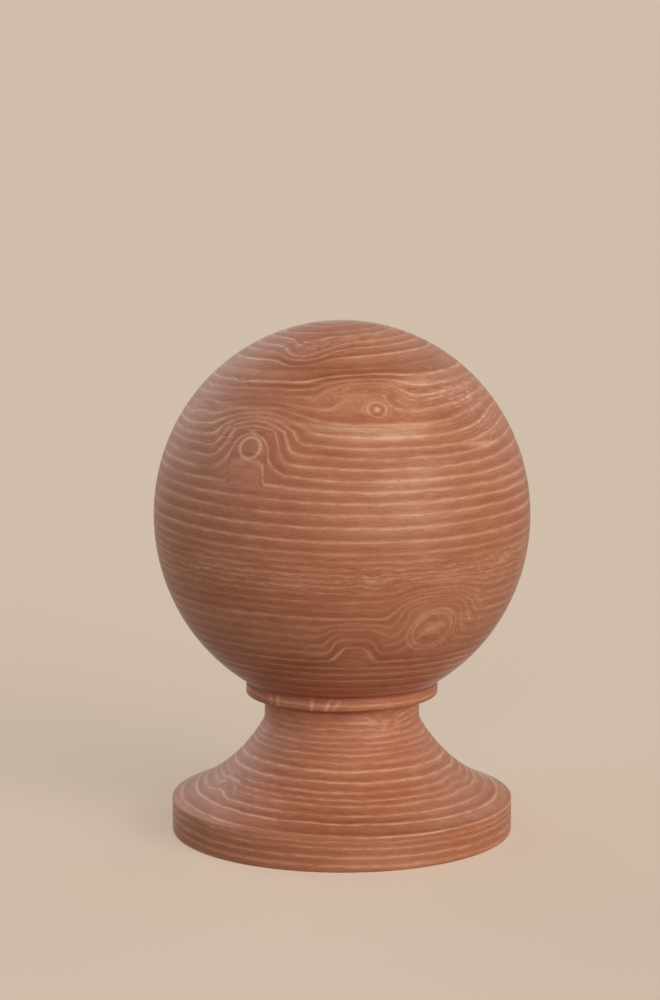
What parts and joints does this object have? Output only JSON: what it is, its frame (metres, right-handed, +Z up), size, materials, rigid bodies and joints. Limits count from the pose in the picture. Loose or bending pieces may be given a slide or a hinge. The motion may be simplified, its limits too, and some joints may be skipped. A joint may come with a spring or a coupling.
{
  "type": "ball finial",
  "caption": "Turned wooden ball finial: ball on a thin collar and narrow neck, flaring in a cove to a round base with a straight band and a blind dowel hole beneath.",
  "frame": {"origin": "centre of the flat underside, where the turning axis meets it", "axes": "+Z up along the turning axis, from the underside to the top of the ball; round about Z, so X and Y are alike"},
  "size_m": [0.055, 0.055, 0.0754],
  "materials": {
    "wood": "satin"
  },
  "bodies": {
    "root": {"finial": "wood"}
  },
  "joints": []
}
